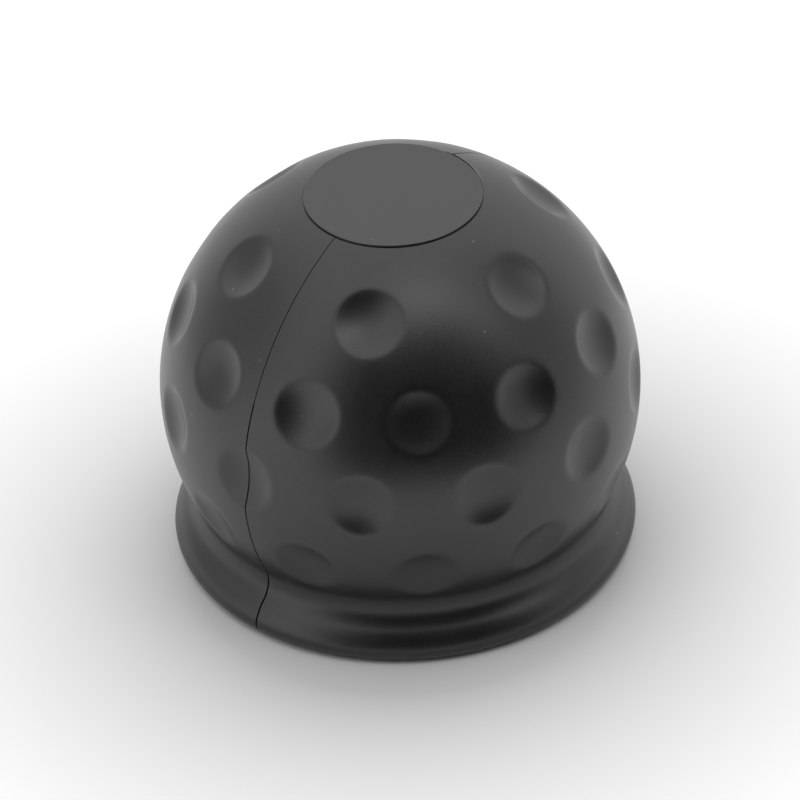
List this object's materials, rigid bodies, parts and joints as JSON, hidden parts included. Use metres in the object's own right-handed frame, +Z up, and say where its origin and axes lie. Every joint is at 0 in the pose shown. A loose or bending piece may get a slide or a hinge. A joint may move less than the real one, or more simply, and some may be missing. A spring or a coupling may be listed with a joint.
{
  "type": "tow ball cover",
  "caption": "Hollow soft plastic cover for a tow ball: a dimpled dome with a plain raised pad on its crown, a gripping lip inside and a rolled rim round its open base.",
  "frame": {"origin": "centre of the base, on the plane that the rolled rim rests on", "axes": "+Z up along the axis of the dome, away from the open mouth; the mould parts on the XZ plane"},
  "size_m": [0.064, 0.064, 0.0537],
  "materials": {
    "cover": "satin black moulded soft plastic"
  },
  "bodies": {
    "root": {"ball_cover": "cover"}
  },
  "joints": []
}
